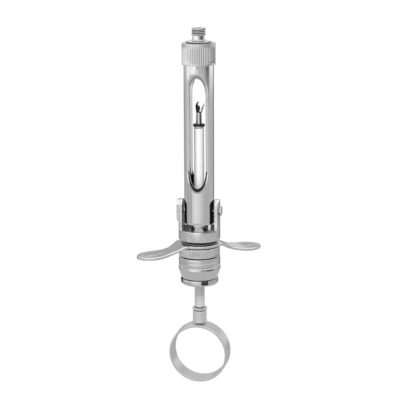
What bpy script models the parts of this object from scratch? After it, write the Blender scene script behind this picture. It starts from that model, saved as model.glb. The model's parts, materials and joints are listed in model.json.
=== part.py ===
"""Aspirating dental syringe with a hinged barrel, as a jointed assembly.

Metres, +Z up. The syringe's axis is Z, with the needle end up. The origin is the centre of the
finger grip's plate. The barrel's windows face -Y and +Y, and its pivot screws lie along X.
Every size below is written in millimetres and scaled by MM.
"""
import math

import bmesh
import bpy
from mathutils import Matrix, Vector

MM = 0.001

# ---- driving dimensions, in millimetres ----
GAP = 0.3                   # clearance between neighbouring pieces
PRESS_GAP = 0.15            # clearance where pieces are screwed or pressed together

BARREL_R = 5.45
BARREL_BORE_R = 4.78
BARREL_BOTTOM = 7.8
BARREL_TOP = 67.6
WINDOW_BOTTOM = 28.35       # where the window's flat starts
WINDOW_TOP = 54.65
WINDOW_FLAT_Y = 3.81        # distance of the milled flat from the axis
WINDOW_RUNOUT_R = 24.0      # radius of the milled ends

PIVOT_Z = 12.4
PIVOT_HOLE_R = 1.15
PIVOT_TIP_R = 1.0
PIVOT_SHANK_R = 1.2
PIVOT_HEAD_R = 2.0

CAP_R = 6.09
CAP_BOTTOM = 66.0
CAP_SHOULDER = 73.8
CAP_TOP = 74.35
CAP_TOP_R = 4.5
HUB_NECK_R = 2.4
HUB_THREAD_R = 2.59
HUB_NECK_BOTTOM = 74.55
HUB_THREAD_BOTTOM = 76.5
HUB_TOP = 79.0
NEEDLE_BORE_R = 0.45

YOKE_R = 7.65
YOKE_BOTTOM = 1.15
YOKE_NOTCH_Z = 5.7
YOKE_RECESS_R = 6.3
YOKE_RECESS_Z = 4.7
ARM_TOP = 16.6
ARM_HALF_WIDTH = 3.3
ARM_INNER_X = 5.75
PAD_X = 8.0                 # the left arm's outer pad, and where it starts
PAD_BOTTOM = 8.8
PAD_TAPER = 1.6
PAD_INSET = 0.1
SPIGOT_R = 5.6
SPIGOT_BOTTOM = -6.0
HANDLE_BORE_R = 4.9
SLEEVE_HOLE_R = 3.4

GRIP_ANGLE = 28.0           # the swivelling finger grip's resting angle about Z, degrees
GRIP_THICKNESS = 1.1
GRIP_DISC_R = 7.7
GRIP_HOLE_R = 5.9
GRIP_HALF_SPAN = 24.0
GRIP_DROP = 3.2

LOCK_TOP = -0.9
LOCK_BOTTOM = -4.3
LOCK_R = 7.5
HOUSING_TOP = -4.6
HOUSING_BOTTOM = -12.6
NUT_TOP = -12.9
NUT_BOTTOM = -15.0
NUT_R = 6.93

SLEEVE_R = 3.2
SLEEVE_TOP = 8.6
SLEEVE_FLANGE_R = 4.6
SLEEVE_FLANGE_TOP = -1.2
SLEEVE_BORE_R = 2.05

ROD_R = 1.84
ROD_TOP = 43.0
ROD_BOTTOM = -24.3
ROD_SPIGOT_R = 1.3
HARPOON_R = 1.0
HARPOON_TIP = 52.7
COLLAR_BOTTOM = -25.5
STEM_R = 2.56
RING_CENTRE_Z = -41.9
RING_OUTER_R = 11.0
RING_INNER_R = 10.2
RING_WIDTH = 7.0
RING_ANGLE = -5.5           # the swivelling thumb ring's resting angle about Z, degrees

BIG_SEGMENTS = 32
SMALL_SEGMENTS = 20

CHROME = ((0.80, 0.81, 0.82), 0.12)
SATIN = ((0.74, 0.75, 0.76), 0.32)
DARK_STEEL = ((0.35, 0.36, 0.38), 0.30)
SPRING_STEEL = ((0.55, 0.56, 0.58), 0.25)
RUBBER = ((0.02, 0.02, 0.02), 0.60)


# ---- making objects ----
def material(name, finish):
    """A Principled material; rubber is the only finish that is not metal."""
    colour, roughness = finish
    made = bpy.data.materials.new(name)
    made.use_nodes = True
    shader = made.node_tree.nodes["Principled BSDF"]
    shader.inputs["Base Color"].default_value = (*colour, 1.0)
    shader.inputs["Roughness"].default_value = roughness
    shader.inputs["Metallic"].default_value = 0.0 if finish is RUBBER else 1.0
    return made


def new_object(name, bm, finish=None, origin=(0.0, 0.0, 0.0)):
    """Turn a bmesh in world metres into an object whose origin is at origin (in millimetres)."""
    offset = Vector(origin) * MM
    bmesh.ops.remove_doubles(bm, verts=bm.verts, dist=1e-7)
    bmesh.ops.recalc_face_normals(bm, faces=bm.faces)
    bmesh.ops.translate(bm, verts=bm.verts, vec=-offset)
    mesh = bpy.data.meshes.new(name)
    bm.to_mesh(mesh)
    bm.free()
    made = bpy.data.objects.new(name, mesh)
    made.location = offset
    bpy.context.collection.objects.link(made)
    if finish:
        mesh.materials.append(material(name, finish))
        mesh.shade_smooth()
        mesh.set_sharp_from_angle(angle=math.radians(35.0))
    return made


def cutter(name, bm):
    """An object used only to cut others."""
    made = new_object(name, bm)
    made.hide_render = True
    made.display_type = "WIRE"
    return made


def boolean(target, tool, operation="DIFFERENCE"):
    """Add an exact Boolean modifier."""
    modifier = target.modifiers.new(tool.name, "BOOLEAN")
    modifier.object = tool
    modifier.operation = operation
    modifier.solver = "EXACT"


# ---- shapes, from sizes in millimetres ----
def turned(profile, segments):
    """Revolve a closed outline of (radius, z) points about Z. Points on the axis become poles."""
    bm = bmesh.new()
    rings = []
    for radius, z in profile:
        if radius == 0.0:
            rings.append([bm.verts.new((0.0, 0.0, z * MM))] * segments)
            continue
        turns = [2.0 * math.pi * i / segments for i in range(segments)]
        ring = [(radius * math.cos(a) * MM, radius * math.sin(a) * MM, z * MM) for a in turns]
        rings.append([bm.verts.new(point) for point in ring])
    for lower, upper in zip(rings, rings[1:] + rings[:1]):
        for i in range(segments):
            j = (i + 1) % segments
            corners = dict.fromkeys((lower[i], lower[j], upper[j], upper[i]))
            if len(corners) > 2:
                bm.faces.new(list(corners))
    return bm


def tube(inner, outer, bottom, top, segments):
    """A plain ring with a rectangular section."""
    return turned([(inner, bottom), (outer, bottom), (outer, top), (inner, top)], segments)


def extruded(outline, low, high, to_point):
    """Extrude a closed 2-D outline from low to high; to_point(u, v, w) places each corner."""
    bm = bmesh.new()
    ends = []
    for w in (low, high):
        ends.append([bm.verts.new(Vector(to_point(u, v, w)) * MM) for u, v in outline])
    count = len(outline)
    bm.faces.new(ends[0])
    bm.faces.new(ends[1])
    for i in range(count):
        j = (i + 1) % count
        bm.faces.new((ends[0][i], ends[0][j], ends[1][j], ends[1][i]))
    return bm


def along_x(y, z, x):
    return (x, y, z)


def along_y(x, z, y):
    return (x, y, z)


def arc(centre, radius, start, end, steps):
    """Points on an arc, with angles in degrees."""
    points = []
    for i in range(steps + 1):
        angle = math.radians(start + (end - start) * i / steps)
        points.append((centre[0] + radius * math.cos(angle), centre[1] + radius * math.sin(angle)))
    return points


def cylinder_x(radius, low, high, z, segments):
    """A cylinder along X at height z."""
    return extruded(arc((0.0, z), radius, 0.0, 360.0 * (1 - 1 / segments), segments - 1), low, high, along_x)


def merge(first, second):
    """Add a second bmesh's bodies to the first."""
    mesh = bpy.data.meshes.new("merge")
    second.to_mesh(mesh)
    second.free()
    first.from_mesh(mesh)
    bpy.data.meshes.remove(mesh)
    return first


# ---- barrel, cap and needle adaptor ----
def make_barrel():
    tube_profile = [
        (BARREL_BORE_R, BARREL_BOTTOM), (BARREL_R, BARREL_BOTTOM),
        (BARREL_R, BARREL_TOP), (BARREL_BORE_R, BARREL_TOP),
    ]
    pivot = (0.0, 0.0, PIVOT_Z)
    barrel = new_object("barrel_tube", turned(tube_profile, BIG_SEGMENTS), CHROME, pivot)
    centre = WINDOW_FLAT_Y + WINDOW_RUNOUT_R
    sweep = 35.0
    windows = None
    for side in (-1.0, 1.0):
        lower = arc((centre, WINDOW_BOTTOM), WINDOW_RUNOUT_R, 180.0 + sweep, 180.0, 6)
        upper = arc((centre, WINDOW_TOP), WINDOW_RUNOUT_R, 180.0, 180.0 - sweep, 6)
        outline = [(side * y, z) for y, z in lower + upper]
        block = extruded(outline, -8.0, 8.0, along_x)
        windows = merge(windows, block) if windows else block
    boolean(barrel, cutter("window_cutter", windows))
    holes = cylinder_x(PIVOT_HOLE_R, -8.0, 8.0, PIVOT_Z, 16)
    boolean(barrel, cutter("barrel_pivot_cutter", holes))


def make_cap():
    """The knurled cap screws on the barrel's top and holds the cartridge seat and the adaptor."""
    socket_r = BARREL_R + PRESS_GAP
    chamber_r = 4.0
    hole_r = 1.9
    profile = [
        (socket_r, CAP_BOTTOM), (5.9, CAP_BOTTOM), (CAP_R, CAP_BOTTOM + 0.3),
        (CAP_R, CAP_SHOULDER), (4.6, CAP_SHOULDER), (CAP_TOP_R, CAP_TOP),
        (hole_r, CAP_TOP), (hole_r, 71.9), (chamber_r, 71.9), (chamber_r, BARREL_TOP + GAP),
        (socket_r, BARREL_TOP + GAP),
    ]
    pivot = (0.0, 0.0, PIVOT_Z)
    new_object("knurled_cap", turned(profile, BIG_SEGMENTS), CHROME, pivot)
    seat = tube(2.0, 3.7, 71.0, 71.6, SMALL_SEGMENTS)
    new_object("cartridge_seat", seat, RUBBER, pivot)
    adaptor = [
        (NEEDLE_BORE_R, 70.4), (1.6, 70.4), (1.6, HUB_NECK_BOTTOM), (HUB_NECK_R, HUB_NECK_BOTTOM),
        (HUB_NECK_R, HUB_THREAD_BOTTOM), (HUB_THREAD_R, HUB_THREAD_BOTTOM + 0.3),
        (HUB_THREAD_R, HUB_TOP - 0.2), (2.4, HUB_TOP), (NEEDLE_BORE_R, HUB_TOP),
    ]
    new_object("needle_adaptor", turned(adaptor, SMALL_SEGMENTS), CHROME, pivot)


# ---- yoke and what is fixed to it ----
def make_yoke():
    """A ring with a cup-shaped recess, two arms for the pivots and a threaded spigot below."""
    arm_bore = 5.0
    step = YOKE_NOTCH_Z + 0.05
    above = ARM_TOP + 1.0
    profile = [
        (SLEEVE_HOLE_R, YOKE_RECESS_Z), (SLEEVE_HOLE_R, -0.9), (HANDLE_BORE_R, -0.9),
        (HANDLE_BORE_R, SPIGOT_BOTTOM), (SPIGOT_R, SPIGOT_BOTTOM), (SPIGOT_R, YOKE_BOTTOM),
        (6.9, YOKE_BOTTOM), (YOKE_R, YOKE_BOTTOM + 0.75), (YOKE_R, above), (arm_bore, above),
        (arm_bore, step), (YOKE_RECESS_R, step), (YOKE_RECESS_R, 5.5), (5.4, YOKE_RECESS_Z),
    ]
    yoke = new_object("yoke", turned(profile, BIG_SEGMENTS), CHROME)
    top_r = ARM_TOP - PIVOT_Z
    edge = math.degrees(math.acos(ARM_HALF_WIDTH / top_r))
    around_arm = [(-10.0, YOKE_NOTCH_Z), (-ARM_HALF_WIDTH, YOKE_NOTCH_Z)]
    around_arm += arc((0.0, PIVOT_Z), top_r, 180.0 - edge, edge, 8)
    around_arm += [(ARM_HALF_WIDTH, YOKE_NOTCH_Z), (10.0, YOKE_NOTCH_Z)]
    around_arm += [(10.0, above + 1.0), (-10.0, above + 1.0)]
    boolean(yoke, cutter("arm_outline_cutter", extruded(around_arm, -10.0, 10.0, along_x)))
    half = ARM_INNER_X
    slot = [(-half, YOKE_NOTCH_Z), (half, YOKE_NOTCH_Z), (half, above + 1.0), (-half, above + 1.0)]
    boolean(yoke, cutter("arm_slot_cutter", extruded(slot, -9.0, 9.0, along_y)))
    pad_half = ARM_HALF_WIDTH - PAD_INSET
    pad_edge = math.degrees(math.acos(pad_half / (top_r - PAD_INSET)))
    pad = arc((0.0, PIVOT_Z), top_r - PAD_INSET, 180.0 - pad_edge, pad_edge, 8)
    pad += [(pad_half, PAD_BOTTOM), (-pad_half, PAD_BOTTOM)]
    boolean(yoke, cutter("left_pad", extruded(pad, -PAD_X, -7.0, along_x)), "UNION")
    taper = [
        (-PAD_X, PAD_BOTTOM + PAD_TAPER), (-YOKE_R, PAD_BOTTOM - 0.1), (-YOKE_R, PAD_BOTTOM - 1.0),
        (-PAD_X - 1.0, PAD_BOTTOM - 1.0), (-PAD_X - 1.0, PAD_BOTTOM + PAD_TAPER),
    ]
    boolean(yoke, cutter("pad_taper_cutter", extruded(taper, -5.0, 5.0, along_y)))
    hole_r = PIVOT_SHANK_R + PRESS_GAP
    boolean(yoke, cutter("arm_pivot_cutter", cylinder_x(hole_r, -9.0, 9.0, PIVOT_Z, 16)))


def make_pivot_screws():
    """Their tips are the barrel's pivot pins. The left one is headless, flush in the arm's pad."""
    tip = [(0.0, 4.95), (PIVOT_TIP_R, 4.95), (PIVOT_TIP_R, 5.6), (PIVOT_SHANK_R, 5.8)]
    headless = tip + [(PIVOT_SHANK_R, PAD_X - 0.1), (0.0, PAD_X - 0.1)]
    head_in = YOKE_R + PRESS_GAP
    head_out = 8.35
    headed = tip + [
        (PIVOT_SHANK_R, head_in), (PIVOT_HEAD_R, head_in), (PIVOT_HEAD_R, head_out - 0.2),
        (PIVOT_HEAD_R - 0.3, head_out), (0.0, head_out),
    ]
    sides = (("pivot_screw_left", -1.0, headless), ("pivot_screw_right", 1.0, headed))
    for name, side, profile in sides:
        bm = turned(profile, 16)
        turn = Matrix.Rotation(math.radians(90.0) * side, 4, "Y")
        place = Matrix.Translation((0.0, 0.0, PIVOT_Z * MM))
        bmesh.ops.transform(bm, matrix=place @ turn, verts=bm.verts)
        new_object(name, bm, CHROME, (0.0, 0.0, PIVOT_Z))


def make_handle_stack():
    """The pieces under the finger grip, from the grip's washer down to the guide bush."""
    washer = tube(SPIGOT_R + PRESS_GAP, 6.6, 0.7, 1.0, BIG_SEGMENTS)
    new_object("grip_washer", washer, DARK_STEEL)
    thread_r = SPIGOT_R + PRESS_GAP
    lock = [
        (thread_r, LOCK_BOTTOM), (LOCK_R - 0.2, LOCK_BOTTOM), (LOCK_R, LOCK_BOTTOM + 0.2),
        (LOCK_R, LOCK_TOP - 0.3), (LOCK_R - 0.3, LOCK_TOP), (thread_r, LOCK_TOP),
    ]
    new_object("lock_ring", turned(lock, BIG_SEGMENTS), CHROME)
    housing = [
        (HANDLE_BORE_R, HOUSING_BOTTOM), (6.75, HOUSING_BOTTOM), (6.75, -12.0), (7.1, -11.3),
        (7.44, -10.4), (7.72, -9.5), (7.77, -8.8), (7.7, -8.1), (7.25, -7.85), (7.25, -7.65),
        (7.65, -7.5), (7.65, HOUSING_TOP - 0.1), (7.55, HOUSING_TOP), (thread_r, HOUSING_TOP),
        (thread_r, SPIGOT_BOTTOM - GAP), (HANDLE_BORE_R, SPIGOT_BOTTOM - GAP),
    ]
    new_object("spring_housing", turned(housing, BIG_SEGMENTS), CHROME)
    bush_hole = 2.95
    nut = [
        (bush_hole, NUT_BOTTOM), (6.6, NUT_BOTTOM), (NUT_R, -14.6), (NUT_R, NUT_TOP - 0.1),
        (NUT_R - 0.1, NUT_TOP), (4.6, NUT_TOP), (4.6, -11.7), (bush_hole, -11.7),
    ]
    end_nut = new_object("end_nut", turned(nut, BIG_SEGMENTS), CHROME)
    slots = None
    for angle in (24.0, 114.0, 204.0, 294.0):
        across = [(-1.3, -14.35), (1.3, -14.35), (1.3, NUT_TOP + 0.15), (-1.3, NUT_TOP + 0.15)]
        block = extruded(across, 5.4, 8.5, along_x)
        spin = Matrix.Rotation(math.radians(angle), 4, "Z")
        bmesh.ops.transform(block, matrix=spin, verts=block.verts)
        slots = merge(slots, block) if slots else block
    boolean(end_nut, cutter("spanner_notch_cutter", slots))
    new_object("guide_bush", tube(2.0, 2.65, -15.0, -11.9, SMALL_SEGMENTS), SATIN)
    section = arc((2.4, -11.2), 0.28, 0.0, 315.0, 7)
    new_object("rod_o_ring", turned(section, SMALL_SEGMENTS), RUBBER)
    new_object("spring_seat", tube(2.95, 4.6, -11.4, -10.9, SMALL_SEGMENTS), DARK_STEEL)


def make_spring():
    """A compression spring of round wire between the sleeve's flange and the spring seat."""
    wire_r = 0.4
    coil_r = 4.0
    top = SLEEVE_FLANGE_TOP - 0.8 - GAP - wire_r
    bottom = -10.9 + GAP + wire_r
    turns = 4.5
    per_turn = 16
    sides = 6
    steps = int(turns * per_turn)
    bm = bmesh.new()
    rings = []
    for i in range(steps + 1):
        angle = 2.0 * math.pi * i / per_turn
        z = top + (bottom - top) * i / steps
        out = Vector((math.cos(angle), math.sin(angle), 0.0))
        ring = []
        for k in range(sides):
            turn = 2.0 * math.pi * k / sides
            point = out * (coil_r + wire_r * math.cos(turn))
            point.z = z + wire_r * math.sin(turn)
            ring.append(bm.verts.new(point * MM))
        rings.append(ring)
    for first, second in zip(rings, rings[1:]):
        for k in range(sides):
            m = (k + 1) % sides
            bm.faces.new((first[k], first[m], second[m], second[k]))
    bm.faces.new(rings[0])
    bm.faces.new(rings[-1])
    new_object("pusher_spring", bm, SPRING_STEEL)


# ---- finger grip ----
def grip_half_width(u):
    """Half the blade's width at a distance u from the axis."""
    root, neck, paddle = 5.3, 3.85, 5.0
    neck_u, paddle_u = 11.7, 18.0
    if u < neck_u:
        ease = 0.5 - 0.5 * math.cos(math.pi * max(0.0, u - 6.0) / (neck_u - 6.0))
        blade = root + (neck - root) * ease
    elif u < paddle_u:
        ease = 0.5 - 0.5 * math.cos(math.pi * (u - neck_u) / (paddle_u - neck_u))
        blade = neck + (paddle - neck) * ease
    else:
        blade = paddle * math.sqrt(max(0.0, 1.0 - ((u - paddle_u) / (GRIP_HALF_SPAN - paddle_u)) ** 2))
    disc = math.sqrt(max(0.0, GRIP_DISC_R ** 2 - u * u))
    return max(blade, disc)


def grip_drop(u):
    """How far the blade's centre line lies under the plate at a distance u from the axis."""
    if u <= 7.0:
        return 0.0
    return GRIP_DROP * (1.0 - math.exp(-(((u - 7.0) / 4.2) ** 1.25)))


def make_finger_grip():
    half = [0.0, 2.0, 4.0, 5.0, 5.6, 6.4, 7.2, 8.4, 9.9, 11.7, 13.4, 15.2, 17.0, 18.6, 20.2, 21.6]
    half += [22.7, 23.5, 23.9]
    stations = [-u for u in reversed(half[1:])] + half
    half_thick = GRIP_THICKNESS / 2.0
    bm = bmesh.new()
    loops = []
    for u in stations:
        width = grip_half_width(abs(u))
        z = -grip_drop(abs(u))
        corners = ((-width, -half_thick), (width, -half_thick), (width, half_thick), (-width, half_thick))
        loops.append([bm.verts.new(Vector((u, y, z + dz)) * MM) for y, dz in corners])
    for first, second in zip(loops, loops[1:]):
        for k in range(4):
            m = (k + 1) % 4
            bm.faces.new((first[k], first[m], second[m], second[k]))
    bm.faces.new(loops[0])
    bm.faces.new(loops[-1])
    turn = Matrix.Rotation(math.radians(GRIP_ANGLE), 4, "Z")
    bmesh.ops.transform(bm, matrix=turn, verts=bm.verts)
    grip = new_object("finger_grip", bm, CHROME)
    hole = turned([(0.0, -3.0), (GRIP_HOLE_R, -3.0), (GRIP_HOLE_R, 3.0), (0.0, 3.0)], BIG_SEGMENTS)
    boolean(grip, cutter("grip_hole_cutter", hole))


# ---- pusher sleeve ----
def make_sleeve():
    """The sprung sleeve locks the barrel by standing in its bore. It takes the harpoon inside."""
    flange_bottom = SLEEVE_FLANGE_TOP - 0.8
    profile = [
        (SLEEVE_BORE_R, -6.0), (2.9, -6.0), (2.9, flange_bottom),
        (SLEEVE_FLANGE_R, flange_bottom), (SLEEVE_FLANGE_R, SLEEVE_FLANGE_TOP),
        (SLEEVE_R, SLEEVE_FLANGE_TOP), (SLEEVE_R, SLEEVE_TOP - 0.3), (2.9, SLEEVE_TOP),
        (2.4, SLEEVE_TOP), (2.4, -1.0), (SLEEVE_BORE_R, -1.2),
    ]
    new_object("pusher_sleeve", turned(profile, SMALL_SEGMENTS), CHROME)


# ---- plunger ----
def make_plunger():
    rod = [
        (0.0, -28.0), (ROD_SPIGOT_R, -28.0), (ROD_SPIGOT_R, ROD_BOTTOM), (ROD_R, ROD_BOTTOM),
        (ROD_R, ROD_TOP), (0.85, ROD_TOP), (0.85, 40.4), (0.0, 40.4),
    ]
    new_object("plunger_rod", turned(rod, SMALL_SEGMENTS), SATIN)
    nut = [(1.2, 43.3), (1.9, 43.3), (2.14, 43.55), (2.14, 44.3), (1.9, 44.5), (1.2, 44.5)]
    new_object("harpoon_nut", turned(nut, SMALL_SEGMENTS), CHROME)


def make_harpoon():
    """A shaft with a tang in the rod and a forked tip: one hooked tine and one slanting tine."""
    fork = 48.9
    shaft = [
        (0.0, 40.7), (0.65, 40.7), (0.65, 43.3), (HARPOON_R, 43.3), (HARPOON_R, fork), (0.0, fork),
    ]
    harpoon = new_object("harpoon", turned(shaft, 16), CHROME)
    hooked = [(-0.8, 48.0), (-0.25, 48.0), (0.0, 48.9), (0.42, 49.6), (0.32, 50.9), (-0.35, 51.15)]
    hooked += [(-0.4, 51.7), (0.15, HARPOON_TIP), (-0.75, 52.2), (-1.18, 51.3), (-1.12, 49.8)]
    slanted = [(0.6, 48.0), (0.95, 48.0), (1.5, 49.9), (2.05, 51.9), (1.75, 51.7), (0.95, 50.2)]
    slanted += [(0.85, 49.0)]
    for name, outline in (("hooked_tine", hooked), ("slanted_tine", slanted)):
        boolean(harpoon, cutter(name, extruded(outline, -0.5, 0.5, along_y)), "UNION")


def make_ring():
    collar = [
        (1.5, COLLAR_BOTTOM), (2.45, COLLAR_BOTTOM), (2.7, COLLAR_BOTTOM + 0.25),
        (2.7, -24.85), (2.45, -24.6), (1.5, -24.6),
    ]
    new_object("ring_collar", turned(collar, SMALL_SEGMENTS), CHROME)
    ring_top = RING_CENTRE_Z + RING_OUTER_R
    stem_bottom = ring_top + 0.45
    stem = [
        (0.95, stem_bottom), (STEM_R, stem_bottom), (STEM_R, -25.8), (1.5, -25.8),
        (1.5, -28.3), (0.95, -28.3),
    ]
    new_object("ring_stem", turned(stem, SMALL_SEGMENTS), SATIN)
    outline = [
        (RING_INNER_R, -RING_WIDTH / 2), (RING_OUTER_R, -RING_WIDTH / 2),
        (RING_OUTER_R, RING_WIDTH / 2), (RING_INNER_R, RING_WIDTH / 2),
    ]
    band = turned(outline, 48)
    turn = Matrix.Rotation(math.radians(RING_ANGLE), 4, "Z") @ Matrix.Rotation(math.pi / 2, 4, "X")
    place = Matrix.Translation((0.0, 0.0, RING_CENTRE_Z * MM))
    bmesh.ops.transform(band, matrix=place @ turn, verts=band.verts)
    ring = new_object("thumb_ring", band, SATIN)
    hole = turned([(0.0, -34.0), (0.95, -34.0), (0.95, -29.0), (0.0, -29.0)], 16)
    boolean(ring, cutter("ring_rivet_cutter", hole))
    rivet = [
        (0.0, -32.55), (1.1, -32.55), (1.6, -32.2), (1.6, -32.0), (0.7, -32.0), (0.7, -28.4),
        (0.0, -28.4),
    ]
    new_object("ring_rivet", turned(rivet, 16), SATIN)


def main():
    for old in list(bpy.data.objects):
        bpy.data.objects.remove(old, do_unlink=True)
    make_barrel()
    make_cap()
    make_yoke()
    make_pivot_screws()
    make_handle_stack()
    make_spring()
    make_finger_grip()
    make_sleeve()
    make_plunger()
    make_harpoon()
    make_ring()


main()
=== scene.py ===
"""The looks of an aspirating dental syringe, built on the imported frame.

Shapes are written in millimetres and placed from the frame's own boxes. Turned pieces are
revolved outlines with rounded corners; milled pieces are cut with exact Booleans and bevelled.
"""
import json
import math

import bmesh
import bpy
from mathutils import Matrix, Quaternion, Vector


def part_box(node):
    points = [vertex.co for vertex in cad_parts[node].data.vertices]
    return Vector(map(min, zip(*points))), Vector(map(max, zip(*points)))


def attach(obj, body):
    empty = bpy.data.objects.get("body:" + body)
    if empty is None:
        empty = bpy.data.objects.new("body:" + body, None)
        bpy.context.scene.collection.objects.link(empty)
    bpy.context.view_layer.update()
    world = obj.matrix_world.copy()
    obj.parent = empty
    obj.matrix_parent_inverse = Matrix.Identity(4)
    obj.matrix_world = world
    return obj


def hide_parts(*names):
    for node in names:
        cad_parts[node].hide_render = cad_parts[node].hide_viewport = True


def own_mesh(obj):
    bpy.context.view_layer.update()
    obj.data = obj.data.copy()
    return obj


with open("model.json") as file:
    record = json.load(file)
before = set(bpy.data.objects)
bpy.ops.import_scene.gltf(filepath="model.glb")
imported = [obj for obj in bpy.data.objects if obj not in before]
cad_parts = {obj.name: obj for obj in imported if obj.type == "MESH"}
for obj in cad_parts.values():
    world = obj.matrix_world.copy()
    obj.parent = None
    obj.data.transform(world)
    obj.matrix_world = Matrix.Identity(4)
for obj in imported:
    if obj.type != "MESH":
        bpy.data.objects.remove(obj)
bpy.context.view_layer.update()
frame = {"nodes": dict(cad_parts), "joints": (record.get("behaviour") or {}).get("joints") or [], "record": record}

MM = 0.001
RECORD = frame["record"]
BODY_OF_NODE = {
    node: body for body, nodes in RECORD["behaviour"]["bodies"].items() for node in nodes
}

# ---- the camera's place round the object ----
CAMERA_AZIMUTH = 8.0
CAMERA_ELEVATION = 13.6
CAMERA_DISTANCE = 511.0
CAMERA_LENS = 126.0
CAMERA_AIM_Z = 16.2
CAMERA_AIM_RIGHT = 0.26
CAMERA_ROLL = 0.25
FLOOR_DROP = 60.0
FLOOR_RADIUS = 320.0
FLOOR_MIRRORED_LEVEL = 0.55
LAMP_SIZE = 200.0
LAMP_POWER = 3.0            # watts
LAMP_DISTANCE = 600.0
LAMP_AZIMUTH = CAMERA_AZIMUTH + 12.0
LAMP_FROM_ZENITH = 42.0

# ---- sizes shared with the solids, in millimetres ----
BARREL_BORE_R = 4.78
WINDOW_FLAT_Y = 3.81
WINDOW_HEIGHTS = (28.35, 54.65)
WINDOW_RUNOUT_R = 24.0
PIVOT_HOLE_R = 1.15
ARM_HOLE_R = 1.35
HANDLE_THREAD_R = 5.75
HANDLE_BORE_R = 4.9
RING_ANGLE = -5.5
NOTCH_ANGLES = (24.0, 114.0, 204.0, 294.0)
SCREW_SLOT_ANGLE = 40.0
SCREW_SLOT_HALF_WIDTH = 0.22


class Extent:
    """A CAD node's box at rest, in millimetres."""

    def __init__(self, node):
        low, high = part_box(node)
        self.low = Vector(low) / MM
        self.high = Vector(high) / MM
        self.bottom = self.low.z
        self.top = self.high.z
        self.radius = (self.high.x - self.low.x) / 2.0


# ---- materials ----
def new_material(name, colour, roughness, metallic=1.0):
    made = bpy.data.materials.new(name)
    made.use_nodes = True
    shader = made.node_tree.nodes["Principled BSDF"]
    shader.inputs["Base Color"].default_value = (*colour, 1.0)
    shader.inputs["Roughness"].default_value = roughness
    shader.inputs["Metallic"].default_value = metallic
    return made, made.node_tree, shader


def noise(tree, scale, detail=3.0, stretch=(1.0, 1.0, 1.0)):
    """3-D noise in the object's own space; scale counts cells per metre."""
    coordinates = tree.nodes.new("ShaderNodeTexCoord")
    mapping = tree.nodes.new("ShaderNodeMapping")
    mapping.inputs["Scale"].default_value = stretch
    texture = tree.nodes.new("ShaderNodeTexNoise")
    texture.inputs["Scale"].default_value = scale
    texture.inputs["Detail"].default_value = detail
    tree.links.new(coordinates.outputs["Object"], mapping.inputs["Vector"])
    tree.links.new(mapping.outputs["Vector"], texture.inputs["Vector"])
    return texture.outputs["Fac"]


def remap(tree, value, low, high, start=0.3, end=0.7):
    """Map noise between start and end to low and high."""
    node = tree.nodes.new("ShaderNodeMapRange")
    node.inputs["From Min"].default_value = start
    node.inputs["From Max"].default_value = end
    node.inputs["To Min"].default_value = low
    node.inputs["To Max"].default_value = high
    tree.links.new(value, node.inputs["Value"])
    return node.outputs["Result"]


def tint(tree, shader, value, dark, light, start=0.3, end=0.7):
    """Vary the base colour between two colours."""
    ramp = tree.nodes.new("ShaderNodeValToRGB")
    ramp.color_ramp.elements[0].position = start
    ramp.color_ramp.elements[0].color = (*dark, 1.0)
    ramp.color_ramp.elements[1].position = end
    ramp.color_ramp.elements[1].color = (*light, 1.0)
    tree.links.new(value, ramp.inputs["Fac"])
    tree.links.new(ramp.outputs["Color"], shader.inputs["Base Color"])


def bump(tree, shader, value, strength, distance):
    node = tree.nodes.new("ShaderNodeBump")
    node.inputs["Strength"].default_value = strength
    node.inputs["Distance"].default_value = distance
    tree.links.new(value, node.inputs["Height"])
    tree.links.new(node.outputs["Normal"], shader.inputs["Normal"])


def polished(name, level=0.80, rough=(0.05, 0.11), waves=0.10):
    """Chrome plate: a soft ripple from polishing, faint smears, and tiny marks from handling."""
    colour = (level, level, level * 1.01)
    made, tree, shader = new_material(name, colour, rough[0])
    smears = noise(tree, 260.0, 4.0)
    tint(tree, shader, smears, [c * 0.93 for c in colour], colour)
    patches = noise(tree, 900.0, 5.0, (1.0, 1.0, 0.35))
    tree.links.new(remap(tree, patches, *rough), shader.inputs["Roughness"])
    ripple = noise(tree, 190.0, 1.0, (1.0, 1.0, 0.4))
    marks = noise(tree, 5200.0, 2.0, (1.0, 1.0, 0.2))
    mixed = tree.nodes.new("ShaderNodeMath")
    mixed.operation = "MULTIPLY_ADD"
    mixed.inputs[1].default_value = 0.06
    tree.links.new(marks, mixed.inputs[0])
    tree.links.new(ripple, mixed.inputs[2])
    bump(tree, shader, mixed.outputs["Value"], waves, 0.0004)
    return made


def satin(name, level=0.78, grain=(1.0, 1.0, 0.06), metallic=0.6):
    """Fine-brushed steel; grain squeezes the noise so that it runs along the brushing."""
    colour = (level, level, level * 1.005)
    made, tree, shader = new_material(name, colour, 0.3)
    shader.inputs["Metallic"].default_value = metallic
    lines = noise(tree, 7000.0, 4.0, grain)
    tint(tree, shader, noise(tree, 350.0, 3.0), [c * 0.95 for c in colour], colour)
    tree.links.new(remap(tree, lines, 0.26, 0.38), shader.inputs["Roughness"])
    bump(tree, shader, lines, 0.12, 0.00003)
    return made


def spring_wire():
    made, tree, shader = new_material("spring_wire", (0.5, 0.5, 0.52), 0.25)
    lines = noise(tree, 3000.0, 3.0)
    tint(tree, shader, lines, (0.38, 0.38, 0.4), (0.55, 0.55, 0.57))
    tree.links.new(remap(tree, lines, 0.2, 0.35), shader.inputs["Roughness"])
    return made


def rubber():
    made, tree, shader = new_material("black_rubber", (0.02, 0.02, 0.02), 0.6, 0.0)
    grain = noise(tree, 4000.0, 3.0)
    tint(tree, shader, grain, (0.014, 0.014, 0.014), (0.03, 0.03, 0.03))
    tree.links.new(remap(tree, grain, 0.5, 0.7), shader.inputs["Roughness"])
    bump(tree, shader, grain, 0.2, 0.00005)
    return made


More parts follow.
